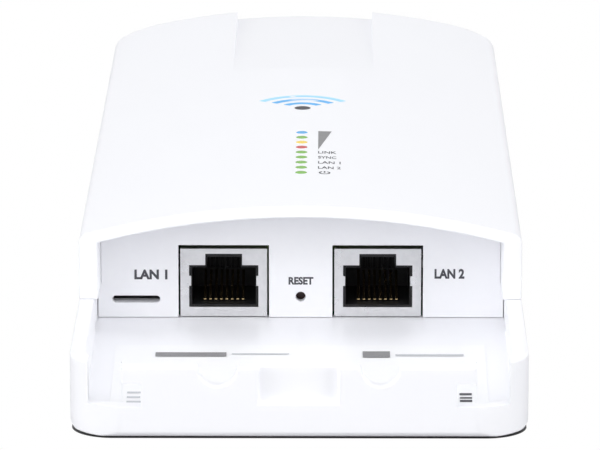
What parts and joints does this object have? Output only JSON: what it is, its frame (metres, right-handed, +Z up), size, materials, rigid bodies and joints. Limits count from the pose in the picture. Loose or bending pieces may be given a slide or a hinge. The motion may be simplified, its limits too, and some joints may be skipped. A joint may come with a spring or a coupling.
{
  "type": "outdoor wireless bridge radio",
  "caption": "Slim outdoor radio unit lying on its back, with network jacks in an open cable bay under a hood, indicator lights on its arched top and coaxial connectors at its far end.",
  "frame": {"origin": "on the back face, at the centre of the overall length and width, connectors included", "axes": "+Z up from the back towards the arched top, +Y from the cable bay towards the coaxial connectors, +X to the right seen from the cable bay"},
  "size_m": [0.082, 0.2346, 0.0311],
  "materials": {
    "white_shell": "fine satin moulded surface",
    "seal_rubber": "matt",
    "label_paper": "smooth satin film",
    "pipe_green": "translucent",
    "pipe_red": "translucent",
    "pipe_amber": "translucent",
    "pipe_blue": "translucent",
    "circuit_board": "solder mask",
    "led_resin": "clear resin",
    "tinned_steel": "tin plate",
    "black_plastic": "satin moulding",
    "gold_plate": "gold plate",
    "red_plastic": "satin moulding",
    "socket_steel": "stamped steel",
    "silicone": "soft matt",
    "cast_alloy": "extruded, bare",
    "can_aluminium": "drawn can",
    "brass_fitting": "machined, nickel flash",
    "white_insulator": "waxy",
    "screw_steel": "zinc plate"
  },
  "bodies": {
    "housing": {"base_shell": "white_shell", "top_shell": "white_shell", "port_panel": "white_shell", "seal_gasket": "seal_rubber", "bay_label": "label_paper", "light_pipe_power": "pipe_green", "light_pipe_lan_2": "pipe_green", "light_pipe_lan_1": "pipe_green", "light_pipe_sync": "pipe_green", "light_pipe_link": "pipe_green", "light_pipe_signal_1": "pipe_red", "light_pipe_signal_2": "pipe_amber", "light_pipe_signal_3": "pipe_green", "light_pipe_signal_4": "pipe_blue", "main_board": "circuit_board", "led_chips": "led_resin", "jack_left_shield": "tinned_steel", "jack_left_insert": "black_plastic", "jack_left_contacts": "gold_plate", "jack_right_shield": "tinned_steel", "jack_right_insert": "black_plastic", "jack_right_contacts": "gold_plate", "reset_switch_body": "black_plastic", "card_socket": "socket_steel", "processor_can": "tinned_steel", "processor_chip": "black_plastic", "thermal_pad": "silicone", "heat_sink": "cast_alloy", "radio_can": "tinned_steel", "radio_chips": "black_plastic", "gps_module": "tinned_steel", "ethernet_magnetics": "black_plastic", "capacitors": "can_aluminium", "power_inductors": "black_plastic", "antenna_connector_left": "brass_fitting", "antenna_connector_right": "brass_fitting", "sync_connector": "brass_fitting", "connector_insulators": "white_insulator", "connector_pins": "gold_plate", "connector_seals": "seal_rubber", "connector_nuts": "brass_fitting", "ground_screw": "tinned_steel", "ground_washer": "tinned_steel", "ground_insert": "brass_fitting", "housing_screws": "screw_steel", "board_screws": "screw_steel"},
    "reset_button": {"reset_plunger": "red_plastic"}
  },
  "joints": [
    {"name": "reset_press", "type": "slide", "parent": "housing", "child": "reset_button", "axis": [0, 1, 0], "range_m": [0, 0.0004], "stiffness_N_per_m": 4000}
  ]
}
